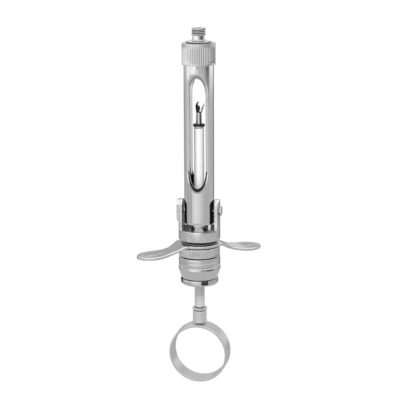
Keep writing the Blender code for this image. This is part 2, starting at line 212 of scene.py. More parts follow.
def rod_steel():
    """Satin steel that gets darker towards the thumb ring; the gradient is painted shade and a guess."""
    made = satin("satin_rod", 0.97, metallic=0.3)
    tree = made.node_tree
    coordinates = tree.nodes.new("ShaderNodeTexCoord")
    split = tree.nodes.new("ShaderNodeSeparateXYZ")
    tree.links.new(coordinates.outputs["Object"], split.inputs["Vector"])
    along = remap(tree, split.outputs["Z"], 0.0, 1.0, -22.0 * MM, 25.0 * MM)
    shader = tree.nodes["Principled BSDF"]
    tint(tree, shader, along, (0.66, 0.66, 0.665), (0.96, 0.96, 0.965), 0.0, 1.0)
    return made


def paint_shade_where(made, level, *limits):
    """Paint shade into a material: another base level where every limit (kind, low, high) holds, in mm.

    The kinds are X, Z, SIDE for the distance from the YZ plane and RADIUS from the Z axis.
    """
    tree = made.node_tree
    shader = tree.nodes["Principled BSDF"]
    rest = tree.nodes.new("ShaderNodeTexCoord")
    split = tree.nodes.new("ShaderNodeSeparateXYZ")
    tree.links.new(rest.outputs["Object"], split.inputs["Vector"])
    flat = tree.nodes.new("ShaderNodeVectorMath")
    flat.operation = "MULTIPLY"
    flat.inputs[1].default_value = (1.0, 1.0, 0.0)
    tree.links.new(rest.outputs["Object"], flat.inputs[0])
    length = tree.nodes.new("ShaderNodeVectorMath")
    length.operation = "LENGTH"
    tree.links.new(flat.outputs["Vector"], length.inputs[0])
    side = tree.nodes.new("ShaderNodeMath")
    side.operation = "ABSOLUTE"
    tree.links.new(split.outputs["X"], side.inputs[0])
    sources = {"X": split.outputs["X"], "Z": split.outputs["Z"],
               "SIDE": side.outputs["Value"], "RADIUS": length.outputs["Value"]}
    total = None
    for kind, low, high in limits:
        inside = tree.nodes.new("ShaderNodeMath")
        inside.operation = "COMPARE"
        inside.inputs[1].default_value = (low + high) / 2.0 * MM
        inside.inputs[2].default_value = (high - low) / 2.0 * MM
        tree.links.new(sources[kind], inside.inputs[0])
        if total:
            both = tree.nodes.new("ShaderNodeMath")
            both.operation = "MULTIPLY"
            tree.links.new(total, both.inputs[0])
            tree.links.new(inside.outputs["Value"], both.inputs[1])
            inside = both
        total = inside.outputs["Value"]
    mix = tree.nodes.new("ShaderNodeMix")
    mix.data_type = "RGBA"
    colours = [socket for socket in mix.inputs if socket.type == "RGBA"]
    tree.links.new(shader.inputs["Base Color"].links[0].from_socket, colours[0])
    colours[1].default_value = (level, level, level, 1.0)
    tree.links.new(total, mix.inputs["Factor"])
    mixed = [socket for socket in mix.outputs if socket.type == "RGBA"][0]
    tree.links.new(mixed, shader.inputs["Base Color"])


CHROME = polished("chrome_plate", 0.88)
CHROME_FINE = polished("chrome_knurled", 0.84, (0.12, 0.2), 0.05)
# The darker areas below are guesses. They are painted dark reflections and painted shade on polished metal.
# Painted dark reflection on the side of the knurled cap's raised disc:
paint_shade_where(CHROME_FINE, 0.2, ("RADIUS", 4.3, 4.85), ("Z", 73.7, 74.25))
CHROME_BODY = polished("chrome_body", 0.80, (0.08, 0.14), 2.0)
NUT_CHROME = polished("chrome_end_nut", 0.80, (0.08, 0.14), 1.5)
# Painted shade inside the end nut's notches:
paint_shade_where(NUT_CHROME, 0.14, ("RADIUS", 5.2, 6.3), ("Z", -14.6, -12.95))
CHROME_GRIP = polished("chrome_grip", 0.78, (0.09, 0.16), 1.0)
CHROME_YOKE = polished("chrome_yoke", 0.84, (0.05, 0.1), 4.0)
# Painted shade on the fork's inner faces, its cup's sides and the undercut:
paint_shade_where(CHROME_YOKE, 0.08, ("RADIUS", 0.0, 7.1), ("SIDE", 3.6, 5.95), ("Z", 4.0, 17.0))
paint_shade_where(CHROME_YOKE, 0.05, ("Z", -7.0, 1.95))
CHROME_BARREL = polished("chrome_barrel", 0.88)
# Painted dark reflections on the windows' lower and upper run-outs and the flats, inside their edges:
paint_shade_where(CHROME_BARREL, 0.06, ("RADIUS", 4.83, 5.2), ("Z", 19.0, 27.5))
paint_shade_where(CHROME_BARREL, 0.5, ("RADIUS", 4.83, 5.2), ("Z", 56.5, 63.0))
paint_shade_where(CHROME_BARREL, 0.7, ("RADIUS", 4.83, 5.4), ("Z", 27.5, 56.5))
SLEEVE_STEEL = polished("chrome_sleeve", 0.92, (0.15, 0.25), 0.05)
HARPOON_STEEL = polished("harpoon_steel", 0.85, (0.1, 0.2), 0.05)
# Painted shade on the hooked tine and the slanting one:
paint_shade_where(HARPOON_STEEL, 0.03, ("X", -2.0, 0.5), ("Z", 48.6, 53.0))
paint_shade_where(HARPOON_STEEL, 0.3, ("X", 0.5, 2.5), ("Z", 48.6, 53.0))
COLLAR_STEEL = polished("harpoon_nut_steel", 0.85, (0.1, 0.2), 0.05)
# Painted dark reflection on the harpoon nut, above 43.75 mm:
paint_shade_where(COLLAR_STEEL, 0.03, ("Z", 43.75, 46.0))
HUB_STEEL = polished("chrome_hub", 0.88, (0.04, 0.08), 0.05)
# Painted shade in the thread's grooves and a painted dark reflection on the hub's rim:
paint_shade_where(HUB_STEEL, 0.1, ("RADIUS", 1.6, 2.42), ("Z", 76.4, 78.8))
paint_shade_where(HUB_STEEL, 0.35, ("Z", 78.85, 79.1))
SATIN_ROD = rod_steel()
SATIN_STEM = satin("satin_stem", 0.74, metallic=0.7)
SATIN_RING = satin("satin_ring", 0.66, (1.0, 0.06, 1.0), 0.75)
WIRE = spring_wire()
RUBBER = rubber()


# ---- outlines and meshes, in millimetres ----
def rounded(outline, steps=4):
    """Replace each (u, v, radius) corner of a closed outline by an arc; (u, v) stays sharp."""
    points = []
    for i, corner in enumerate(outline):
        here = Vector(corner[:2])
        if len(corner) < 3:
            points.append(tuple(here))
            continue
        back = (Vector(outline[i - 1][:2]) - here).normalized()
        ahead = (Vector(outline[(i + 1) % len(outline)][:2]) - here).normalized()
        half = back.angle(ahead) / 2.0
        centre = here + (back + ahead).normalized() * (corner[2] / math.sin(half))
        start = here + back * (corner[2] / math.tan(half)) - centre
        end = here + ahead * (corner[2] / math.tan(half)) - centre
        sweep = start.angle(end)
        for k in range(steps + 1):
            t = k / steps
            spoke = start * math.sin((1.0 - t) * sweep) + end * math.sin(t * sweep)
            points.append(tuple(centre + spoke / math.sin(sweep)))
    return points


def arc(centre, radius, start, end, steps):
    """Points on an arc, with angles in degrees."""
    points = []
    for i in range(steps + 1):
        angle = math.radians(start + (end - start) * i / steps)
        points.append((centre[0] + radius * math.cos(angle), centre[1] + radius * math.sin(angle)))
    return points


def circle(radius, v, steps=40):
    """A closed outline round (0, v)."""
    angles = (2.0 * math.pi * i / steps for i in range(steps))
    return [(radius * math.cos(a), v + radius * math.sin(a)) for a in angles]


def turned(outline, segments, relief=None):
    """Revolve a closed (radius, z) outline about Z; relief(angle, radius, z) changes the radius."""
    bm = bmesh.new()
    rings = []
    for radius, z in outline:
        if radius < 1e-6:
            rings.append([bm.verts.new((0.0, 0.0, z * MM))] * segments)
            continue
        ring = []
        for i in range(segments):
            angle = 2.0 * math.pi * i / segments
            out = radius + (relief(angle, radius, z) if relief else 0.0)
            place = (out * math.cos(angle) * MM, out * math.sin(angle) * MM, z * MM)
            ring.append(bm.verts.new(place))
        rings.append(ring)
    for lower, upper in zip(rings, rings[1:] + rings[:1]):
        for i in range(segments):
            j = (i + 1) % segments
            corners = dict.fromkeys((lower[i], lower[j], upper[j], upper[i]))
            if len(corners) > 2:
                bm.faces.new(list(corners))
    return bm


def extruded(outline, low, high, to_point):
    """Extrude a closed outline from low to high; to_point(u, v, w) places each corner."""
    bm = bmesh.new()
    ends = []
    for w in (low, high):
        ends.append([bm.verts.new(Vector(to_point(u, v, w)) * MM) for u, v in outline])
    bm.faces.new(ends[0])
    bm.faces.new(ends[1])
    for i in range(len(outline)):
        j = (i + 1) % len(outline)
        bm.faces.new((ends[0][i], ends[0][j], ends[1][j], ends[1][i]))
    return bm


def along_x(y, z, x):
    return (x, y, z)


def along_y(x, z, y):
    return (x, y, z)


def mesh_object(name, bm, turn=None):
    """A new object from a bmesh, with outward normals; turn is a matrix for the points."""
    if turn:
        bmesh.ops.transform(bm, matrix=turn, verts=bm.verts)
    bmesh.ops.recalc_face_normals(bm, faces=bm.faces)
    mesh = bpy.data.meshes.new(name)
    bm.to_mesh(mesh)
    bm.free()
    made = bpy.data.objects.new(name, mesh)
    bpy.context.scene.collection.objects.link(made)
    return made


def freeze(made):
    """Apply an object's modifiers to its mesh."""
    bpy.context.view_layer.update()
    graph = bpy.context.evaluated_depsgraph_get()
    result = bpy.data.meshes.new_from_object(made.evaluated_get(graph), depsgraph=graph)
    made.modifiers.clear()
    made.data = result


def carve(made, bm, operation="DIFFERENCE"):
    """Cut a bmesh out of an object, or join it on, at once."""
    tool = mesh_object("carving_tool", bm)
    modifier = made.modifiers.new("carve", "BOOLEAN")
    modifier.object = tool
    modifier.operation = operation
    freeze(made)
    bpy.data.objects.remove(tool, do_unlink=True)


def bevel(made, width, segments=3, angle=28.0):
    """Round the sharp edges by a width in millimetres."""
    modifier = made.modifiers.new("bevel", "BEVEL")
    modifier.width = width * MM
    modifier.segments = segments
    modifier.limit_method = "ANGLE"
    modifier.angle_limit = math.radians(angle)
    freeze(made)


def finish_piece(made, node, material, sharp=40.0):
    """Shade a piece, give it its material, and let it stand for a CAD node and move with it."""
    made.data.materials.clear()
    made.data.materials.append(material)
    made.data.shade_smooth()
    made.data.set_sharp_from_angle(angle=math.radians(sharp))
    weighted = made.modifiers.new("weighted_normals", "WEIGHTED_NORMAL")
    weighted.keep_sharp = True
    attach(made, BODY_OF_NODE[node])
    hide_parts(node)
    return made


def turned_piece(node, outline, material, segments=96, relief=None, sharp=40.0):
    """A turned piece named after the CAD node that it stands for."""
    made = mesh_object("fine_" + node, turned(rounded(outline), segments, relief))
    return finish_piece(made, node, material, sharp)


def serrations(count, depth, low, high, outer, fade=0.25):
    """V grooves round a rim of radius outer between two heights."""
    def relief(angle, radius, z):
        if radius < outer - 0.3:
            return 0.0
        ends = min(1.0, max(0.0, min(z - low, high - z) / fade))
        phase = (angle * count / (2.0 * math.pi)) % 1.0
        groove = max(0.0, 1.0 - abs(phase - 0.5) / 0.32)
        return -depth * ends * groove
    return relief


def rim_heights(radius, low, high, count):
    """Extra outline points up a straight rim, so that relief can follow it."""
    return [(radius, low + (high - low) * i / count) for i in range(count + 1)]


# ---- barrel, cap and adaptor ----
PIVOT_Z = frame["joints"][0]["pos_m"][2] / MM


def make_barrel():
    """A bored tube with a milled window in front and behind."""
    tube = Extent("barrel_tube")
    steps = 30
    outer = [(tube.radius, tube.bottom + 0.2)]
    outer += rim_heights(tube.radius, tube.bottom + 2.0, tube.top - 0.5, steps)
    inner = [(BARREL_BORE_R, z) for _, z in reversed(outer)]
    outline = [(BARREL_BORE_R, tube.bottom, 0.12), (tube.radius, tube.bottom, 0.18)] + outer[1:]
    outline += [(tube.radius, tube.top), (BARREL_BORE_R, tube.top)] + inner[1:-1]
    made = mesh_object("fine_barrel_tube", turned(rounded(outline), 144))
    centre = WINDOW_FLAT_Y + WINDOW_RUNOUT_R
    low, high = WINDOW_HEIGHTS
    for side in (-1.0, 1.0):
        edge = arc((centre, low), WINDOW_RUNOUT_R, 215.0, 180.0, 26)
        edge += arc((centre, high), WINDOW_RUNOUT_R, 180.0, 145.0, 26)
        carve(made, extruded([(side * y, z) for y, z in edge], -8.0, 8.0, along_x))
    carve(made, extruded(circle(PIVOT_HOLE_R, PIVOT_Z), -8.0, 8.0, along_x))
    bevel(made, 0.24, 4, 26.0)
    finish_piece(made, "barrel_tube", CHROME_BARREL, 30.0)


def make_cap():
    """The knurled cap, with a low raised disc round the hub's hole."""
    cap = Extent("knurled_cap")
    shoulder = 73.4
    socket, chamber, hole = 5.6, 4.0, 1.9
    low, high = cap.bottom + 0.25, shoulder + 0.15
    rim = [(cap.radius, cap.bottom + 0.2)] + rim_heights(cap.radius, low, high, 8)
    outline = [(socket, cap.bottom, 0.05), (cap.radius, cap.bottom, 0.12)] + rim[1:]
    outline += [(cap.radius, 73.8, 0.1), (4.6, 73.8, 0.1), (4.5, cap.top, 0.15)]
    outline += [(hole, cap.top, 0.1), (hole, 71.9)]
    outline += [(chamber, 71.9), (chamber, 67.9), (socket, 67.9)]
    count = 54
    grooves = serrations(count, 0.2, cap.bottom + 0.1, shoulder + 0.15, cap.radius)
    turned_piece("knurled_cap", outline, CHROME_FINE, count * 6, grooves, 60.0)


def make_adaptor():
    """The needle hub: a smooth neck and a short rolled thread round a small bore."""
    hub = Extent("needle_adaptor")
    bore = 0.45
    neck_top = 76.45
    pitch = 0.6
    rings = 44
    thread = []
    for i in range(rings + 1):
        thread.append((hub.radius, neck_top + (hub.top - 0.12 - neck_top) * i / rings))
    outline = [(bore, hub.bottom), (1.6, hub.bottom, 0.1), (1.6, 74.55), (2.5, 74.55, 0.1)]
    outline += [(2.5, 74.8, 0.1), (2.2, 74.95), (2.2, 76.3)] + thread
    outline += [(2.35, hub.top, 0.05), (0.75, hub.top, 0.05), (bore, hub.top - 0.35)]

    def helix(angle, radius, z):
        if radius < hub.radius - 0.01:
            return 0.0
        ends = min(1.0, max(0.0, (z - neck_top) / 0.25))
        wave = 0.5 - 0.5 * math.cos(2.0 * math.pi * (z - neck_top) / pitch - angle)
        return -0.34 * ends * wave ** 1.3

    turned_piece("needle_adaptor", outline, HUB_STEEL, 96, helix, 60.0)
    seat = [(2.0, 71.0, 0.1), (3.7, 71.0, 0.1), (3.7, 71.6, 0.1), (2.0, 71.6, 0.1)]
    turned_piece("cartridge_seat", seat, RUBBER, 64)


# ---- yoke and handle ----
def make_yoke():
    """The yoke: a cupped ring, two arms with rounded tops, and the spigot under it."""
    yoke = Extent("yoke")
    radius = yoke.high.x
    recess_r, recess_z, notch_z, arm_bore = 6.3, 4.7, 5.7, 5.0
    hole, spigot = 3.4, 5.6
    half_width, inner_x = 3.3, 5.75
    above = yoke.top + 1.0
    step = notch_z + 0.05
    outline = [(hole, recess_z, 0.2), (hole, -0.9)]
    outline += [(HANDLE_BORE_R, -0.9), (HANDLE_BORE_R, yoke.bottom, 0.1)]
    outline += [(spigot, yoke.bottom, 0.3), (spigot, 1.15), (6.85, 1.15, 0.1), (radius, 2.0, 0.5)]
    outline += rim_heights(radius, 2.6, above, 12)
    outline += [(arm_bore, above), (arm_bore, step)]
    outline += [(recess_r, step), (recess_r, 5.5), (5.4, recess_z, 0.3)]
    made = mesh_object("fine_yoke", turned(rounded(outline), 144))
    top_r = yoke.top - PIVOT_Z
    foot_r = 0.6
    edge = math.degrees(math.acos(half_width / top_r))
    around = [(-10.0, notch_z), (-half_width - foot_r, notch_z)]
    around += arc((-half_width - foot_r, notch_z + foot_r), foot_r, 270.0, 360.0, 6)[1:]
    around += arc((0.0, PIVOT_Z), top_r, 180.0 - edge, edge, 24)
    around += arc((half_width + foot_r, notch_z + foot_r), foot_r, 180.0, 270.0, 6)
    around += [(10.0, notch_z), (10.0, above + 1.0), (-10.0, above + 1.0)]
    carve(made, extruded(around, -10.0, 10.0, along_x))
    slot = [(-inner_x, notch_z), (inner_x, notch_z)]
    slot += [(inner_x, above + 1.0), (-inner_x, above + 1.0)]
    carve(made, extruded(slot, -9.0, 9.0, along_y))
    pad_half, pad_r = half_width - 0.1, top_r - 0.1
    edge = math.degrees(math.acos(pad_half / pad_r))
    pad = arc((0.0, PIVOT_Z), pad_r, 180.0 - edge, edge, 24)
    pad += [(pad_half, 8.8, 0.6), (-pad_half, 8.8, 0.6)]
    carve(made, extruded(rounded(pad), yoke.low.x, -7.0, along_x), "UNION")
    taper_top, taper_bottom = 10.4, 7.8
    taper = [(yoke.low.x, taper_top), (-radius, 8.7), (-radius, taper_bottom)]
    taper += [(-9.0, taper_bottom), (-9.0, taper_top)]
    carve(made, extruded(taper, -5.0, 5.0, along_y))
    carve(made, extruded(circle(ARM_HOLE_R, PIVOT_Z), -9.0, 9.0, along_x))
    bevel(made, 0.22, 3, 26.0)
    finish_piece(made, "yoke", CHROME_YOKE, 30.0)


def make_pivot_screws():
    """A headless screw, flush in the left arm's pad, and a headed one in the right arm."""
    tip = [(0.0, 4.95), (1.0, 4.95, 0.1), (1.0, 5.6), (1.2, 5.8)]
    headless = tip + [(1.2, 7.9, 0.15), (0.0, 7.9)]
    headed = tip + [(1.2, 7.8), (2.0, 7.8, 0.08), (2.0, 8.12, 0.1)]
    headed += [(1.5, 8.32, 0.3), (0.0, 8.35)]
    slant = math.radians(SCREW_SLOT_ANGLE)
    half = SCREW_SLOT_HALF_WIDTH
    slot = [(y * math.cos(slant) - z * math.sin(slant),
             PIVOT_Z + y * math.sin(slant) + z * math.cos(slant))
            for y, z in ((-half, -3.0), (half, -3.0), (half, 3.0), (-half, 3.0))]
    lift = Matrix.Translation((0.0, 0.0, PIVOT_Z * MM))
    for node, side, outline, face in (("pivot_screw_left", -1.0, headless, 7.6),
                                      ("pivot_screw_right", 1.0, headed, 8.05)):
        turn = lift @ Matrix.Rotation(math.radians(90.0) * side, 4, "Y")
        made = mesh_object("fine_" + node, turned(rounded(outline), 64), turn)
        low, high = sorted((side * face, side * 9.0))
        carve(made, extruded(slot, low, high, along_x))
        finish_piece(made, node, CHROME, 35.0)


def make_handle_stack():
    """What is screwed together under the yoke: washer, lock ring, housing, end nut and bush."""
    thread_r, bore = HANDLE_THREAD_R, HANDLE_BORE_R
    washer = Extent("grip_washer")
    outline = [(thread_r, washer.bottom), (washer.radius, washer.bottom, 0.1)]
    outline += [(washer.radius, washer.top, 0.1), (thread_r, washer.top)]
    turned_piece("grip_washer", outline, WIRE, 96)

    lock = Extent("lock_ring")
    rim = rim_heights(lock.radius, lock.bottom + 0.3, lock.top - 0.4, 6)
    outline = [(thread_r, lock.bottom, 0.1), (lock.radius - 0.25, lock.bottom, 0.1)]
    outline += [(lock.radius, lock.bottom + 0.2)] + rim
    outline += [(lock.radius - 0.3, lock.top, 0.1), (thread_r, lock.top)]
    grooves = serrations(72, 0.16, lock.bottom + 0.15, lock.top - 0.1, lock.radius, 0.2)
    turned_piece("lock_ring", outline, CHROME_BODY, 432, grooves, 60.0)

    housing = Extent("spring_housing")
    outline = [(bore, housing.bottom), (6.75, housing.bottom, 0.15)]
    outline += [(6.75, -12.1), (7.1, -11.3, 1.5), (7.5, -10.2, 1.5), (7.77, -9.1, 1.0)]
    outline += [(7.72, -8.2, 0.3), (7.25, -7.85, 0.1), (7.25, -7.65, 0.1), (7.66, -7.45, 0.15)]
    outline += [(7.66, -6.3, 0.05), (7.55, -6.2), (7.55, -6.0)]
    outline += [(7.66, -5.9, 0.05), (7.66, housing.top, 0.25), (thread_r, housing.top)]
    outline += [(thread_r, -6.3), (bore, -6.3)]
    turned_piece("spring_housing", outline, CHROME_BODY, 144)

    nut = Extent("end_nut")
    bush_hole = 2.95
    outline = [(bush_hole, nut.bottom, 0.15), (6.6, nut.bottom, 0.35), (nut.radius, -14.5, 0.3)]
    outline += [(nut.radius, -12.9, 0.15), (4.6, -12.9), (4.6, nut.top, 0.1)]
    outline += [(bush_hole, nut.top, 0.1)]
    made = mesh_object("fine_end_nut", turned(rounded(outline), 144))
    pocket = [(-1.3, -14.35, 0.4), (1.3, -14.35, 0.4), (1.3, -12.5), (-1.3, -12.5)]
    for angle in NOTCH_ANGLES:
        tool = extruded(rounded(pocket), 5.4, 9.0, along_x)
        turn = Matrix.Rotation(math.radians(angle), 4, "Z")
        bmesh.ops.transform(tool, matrix=turn, verts=tool.verts)
        carve(made, tool)
    bevel(made, 0.1, 2, 35.0)
    finish_piece(made, "end_nut", NUT_CHROME, 30.0)

    outline = [(2.0, -15.0, 0.15), (2.65, -15.0, 0.1), (2.65, -11.9, 0.1), (2.0, -11.9, 0.1)]
    turned_piece("guide_bush", outline, SATIN_STEM, 64)


def make_sleeve():
    """The flanged sleeve that stands in the barrel's lower end."""
    sleeve = Extent("pusher_sleeve")
    outline = [(2.05, sleeve.bottom, 0.1), (2.9, sleeve.bottom, 0.1), (2.9, -2.0), (4.6, -2.0, 0.1)]
    outline += [(4.6, -1.2, 0.1), (3.2, -1.2), (3.2, sleeve.top - 0.45, 0.3)]
    outline += [(2.9, sleeve.top, 0.12), (2.4, sleeve.top, 0.12), (2.4, -1.0), (2.05, -1.2)]
    turned_piece("pusher_sleeve", outline, SLEEVE_STEEL, 96)


def make_spring():
    """A round-wire spring between the sleeve's flange and its seat, squashed by the sleeve."""
    spring = Extent("pusher_spring")
    wire = 0.4
    coil = spring.radius - wire
    turns, per_turn, sides = 4.5, 48, 14
    steps = int(turns * per_turn)
    top, bottom = spring.top - wire, spring.bottom + wire
    bm = bmesh.new()
    rings = []
    for i in range(steps + 1):
        angle = 2.0 * math.pi * i / per_turn
        out = Vector((math.cos(angle), math.sin(angle), 0.0))
        z = top + (bottom - top) * i / steps
        ring = []
        for k in range(sides):
            around = 2.0 * math.pi * k / sides
            point = out * (coil + wire * math.cos(around))
            point.z = z + wire * math.sin(around)
            ring.append(bm.verts.new(point * MM))
        rings.append(ring)
    for first, second in zip(rings, rings[1:]):
        for k in range(sides):
            m = (k + 1) % sides
            bm.faces.new((first[k], first[m], second[m], second[k]))
    bm.faces.new(rings[0])
    bm.faces.new(rings[-1])
    made = finish_piece(mesh_object("fine_pusher_spring", bm), "pusher_spring", WIRE, 50.0)
    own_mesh(made)


# ---- finger grip ----
GRIP_ANGLE = 28.0
GRIP_HALF_SPAN = 24.0
GRIP_DISC_R = 7.7
GRIP_HALF_THICK = 0.55


def grip_half_width(u):
    """Half the blade's width at a distance u from the axis."""
    root, neck, paddle = 5.3, 3.85, 5.0
    root_u, neck_u, paddle_u = 6.0, 11.7, 18.0
    if u < neck_u:
        ease = 0.5 - 0.5 * math.cos(math.pi * max(0.0, u - root_u) / (neck_u - root_u))
        blade = root + (neck - root) * ease
    elif u < paddle_u:
        ease = 0.5 - 0.5 * math.cos(math.pi * (u - neck_u) / (paddle_u - neck_u))
        blade = neck + (paddle - neck) * ease
    else:
        past = (u - paddle_u) / (GRIP_HALF_SPAN - paddle_u)
        blade = paddle * math.sqrt(max(0.0, 1.0 - past ** 2))
    disc = math.sqrt(max(0.0, GRIP_DISC_R ** 2 - u * u))
    return max(blade, disc)


def grip_drop(u):
    """How far the blade's centre line lies under the plate at a distance u from the axis."""
    flat_u, depth, reach, ease = 7.0, 3.2, 4.2, 1.25
    if u <= flat_u:
        return 0.0
    return depth * (1.0 - math.exp(-(((u - flat_u) / reach) ** ease)))


def make_finger_grip():
    """A pressed plate: a disc with two dropped wings, every edge rounded over."""
    count = 90
    bm = bmesh.new()
    loops = []
    for i in range(-count, count + 1):
        u = GRIP_HALF_SPAN * math.sin(math.pi / 2.0 * i / count)
        u = math.copysign(min(abs(u), GRIP_HALF_SPAN - 0.02), u) if i else 0.0
        width = max(grip_half_width(abs(u)), 0.15)
        z = -grip_drop(abs(u))
        edge = min(GRIP_HALF_THICK, width)
        ring = []
        for side in (1.0, -1.0):
            for k in range(9):
                angle = math.radians(-90.0 + 22.5 * k)
                y = width - edge + edge * math.cos(angle)
                ring.append((side * y, side * GRIP_HALF_THICK * math.sin(angle)))
            for k in range(1, 12):
                y = (width - edge) * (1.0 - 2.0 * k / 12.0)
                ring.append((side * y, side * GRIP_HALF_THICK))
        loops.append([bm.verts.new(Vector((u, y, z + dz)) * MM) for y, dz in ring])
    for first, second in zip(loops, loops[1:]):
        for k in range(len(first)):
            m = (k + 1) % len(first)
            bm.faces.new((first[k], first[m], second[m], second[k]))
    bm.faces.new(loops[0])
    bm.faces.new(loops[-1])
    made = mesh_object("fine_finger_grip", bm, Matrix.Rotation(math.radians(GRIP_ANGLE), 4, "Z"))
    hole = [(0.0, -3.0), (5.9, -3.0), (5.9, 3.0), (0.0, 3.0)]
    carve(made, turned(hole, 96))
    finish_piece(made, "finger_grip", CHROME_GRIP, 50.0)


# ---- plunger ----
def make_plunger():
    """The rod with its collar at the lower end, and the nut under the harpoon."""
    rod = Extent("plunger_rod")
    outline = [(0.0, rod.bottom), (1.3, rod.bottom, 0.2), (1.3, -24.3), (rod.radius, -24.3, 0.15)]
    outline += [(rod.radius, rod.top, 0.15), (0.85, rod.top), (0.85, 40.4), (0.0, 40.4)]
    turned_piece("plunger_rod", outline, SATIN_ROD, 72)
    nut = Extent("harpoon_nut")
    outline = [(1.2, nut.bottom), (nut.radius, nut.bottom, 0.25)]
    outline += [(nut.radius, nut.top, 0.3), (1.2, nut.top)]
    turned_piece("harpoon_nut", outline, COLLAR_STEEL, 72)
    collar = Extent("ring_collar")
    outline = [(1.5, collar.bottom), (collar.radius, collar.bottom, 0.3)]
    outline += [(collar.radius, collar.top, 0.3), (1.5, collar.top)]
    turned_piece("ring_collar", outline, CHROME_BODY, 72)


def make_harpoon():
    """A shaft that splits into a thick hooked tine and a thin slanting one."""
    shaft = [(0.0, 40.7), (0.65, 40.7), (0.65, 43.3), (1.0, 43.3), (1.0, 48.3)]
    shaft += [(0.9, 48.9, 0.1), (0.0, 48.9)]
    made = mesh_object("fine_harpoon", turned(rounded(shaft), 48))
    hooked = [(-0.8, 48.0), (-0.25, 48.0), (0.0, 48.9, 0.3), (0.42, 49.6, 0.2), (0.32, 50.9, 0.12)]
    hooked += [(-0.35, 51.15, 0.1), (-0.4, 51.7, 0.15), (0.15, 52.65), (-0.75, 52.2, 0.3)]
    hooked += [(-1.18, 51.3, 0.4), (-1.12, 49.8, 0.5)]
    slanted = [(0.6, 48.0), (0.95, 48.0), (1.5, 49.9, 0.5), (2.05, 51.9), (1.75, 51.7, 0.05)]
    slanted += [(0.95, 50.2, 0.5), (0.85, 49.0, 0.5)]
    for outline in (hooked, slanted):
        carve(made, extruded(rounded(outline), -0.5, 0.5, along_y), "UNION")
    bevel(made, 0.08, 2, 35.0)
    finish_piece(made, "harpoon", HARPOON_STEEL, 35.0)


def make_ring():
    """The thumb ring, a flat band riveted to its stem."""
    stem = Extent("ring_stem")
    outline = [(0.95, stem.bottom, 0.05), (stem.radius, stem.bottom, 0.3)]
    outline += [(stem.radius, stem.top, 0.25), (1.5, stem.top, 0.1), (1.5, -28.3), (0.95, -28.3)]
    turned_piece("ring_stem", outline, SATIN_STEM, 72)
    ring = Extent("thumb_ring")
    centre_z = (ring.top + ring.bottom) / 2.0
    outer = (ring.top - ring.bottom) / 2.0
    inner, half = outer - 0.8, 3.5
    outline = [(inner, -half, 0.25), (outer, -half, 0.3), (outer, half, 0.3), (inner, half, 0.25)]
    turn = Matrix.Rotation(math.radians(RING_ANGLE), 4, "Z")
    turn = turn @ Matrix.Rotation(math.pi / 2.0, 4, "X")
    place = Matrix.Translation((0.0, 0.0, centre_z * MM))
    made = mesh_object("fine_thumb_ring", turned(rounded(outline), 192), place @ turn)
    carve(made, turned([(0.0, -34.0), (0.95, -34.0), (0.95, -29.0), (0.0, -29.0)], 32))
    finish_piece(made, "thumb_ring", SATIN_RING)
    rivet = Extent("ring_rivet")
    outline = [(0.0, rivet.bottom), (1.1, rivet.bottom, 0.4), (rivet.radius, -32.15, 0.1)]
    outline += [(rivet.radius, -32.0), (0.7, -32.0), (0.7, rivet.top), (0.0, rivet.top)]
    turned_piece("ring_rivet", outline, SATIN_STEM, 48)


def dress_cad_nodes():
    """The plain inner pieces keep their CAD shape and get their materials."""
    inner = {"spring_seat": WIRE, "rod_o_ring": RUBBER}
    for node, material in inner.items():
        mesh = frame["nodes"][node].data
        mesh.materials.clear()
        mesh.materials.append(material)


# ---- studio ----
def make_camera():
    azimuth = math.radians(CAMERA_AZIMUTH)
    elevation = math.radians(CAMERA_ELEVATION)
    towards = Vector((math.sin(azimuth) * math.cos(elevation),
                      -math.cos(azimuth) * math.cos(elevation),
                      math.sin(elevation)))
    right = Vector((math.cos(azimuth), math.sin(azimuth), 0.0))
    aim = Vector((0.0, 0.0, CAMERA_AIM_Z)) + right * CAMERA_AIM_RIGHT
    data = bpy.data.cameras.new("camera")
    data.lens = CAMERA_LENS
    data.sensor_width = 36.0
    data.clip_start = 0.01
    camera = bpy.data.objects.new("camera", data)
    camera.location = (aim + towards * CAMERA_DISTANCE) * MM
    camera.rotation_mode = "QUATERNION"
    roll = Quaternion((0.0, 0.0, 1.0), math.radians(-CAMERA_ROLL))
    camera.rotation_quaternion = towards.to_track_quat("Z", "Y") @ roll
    bpy.context.scene.collection.objects.link(camera)
    bpy.context.scene.camera = camera
    bpy.context.scene.view_settings.view_transform = "Standard"


def make_floor():
    """A white table a little below the ring, out of the plunger's travel."""
    level = (Extent("thumb_ring").bottom - FLOOR_DROP) * MM
    bm = bmesh.new()
    bmesh.ops.create_circle(bm, cap_ends=True, segments=96, radius=FLOOR_RADIUS * MM)
    floor = mesh_object("floor", bm, Matrix.Translation((0.0, 0.0, level)))
    made = bpy.data.materials.new("white_table")
    made.use_nodes = True
    tree = made.node_tree
    tree.nodes.clear()
    shown = tree.nodes.new("ShaderNodeEmission")
    mirrored = tree.nodes.new("ShaderNodeEmission")
    mirrored.inputs["Strength"].default_value = FLOOR_MIRRORED_LEVEL
    mix = tree.nodes.new("ShaderNodeMixShader")
    rays = tree.nodes.new("ShaderNodeLightPath")
    output = tree.nodes.new("ShaderNodeOutputMaterial")
    tree.links.new(rays.outputs["Is Camera Ray"], mix.inputs[0])
    tree.links.new(mirrored.outputs["Emission"], mix.inputs[1])
    tree.links.new(shown.outputs["Emission"], mix.inputs[2])
    tree.links.new(mix.outputs["Shader"], output.inputs["Surface"])
    floor.data.materials.append(made)


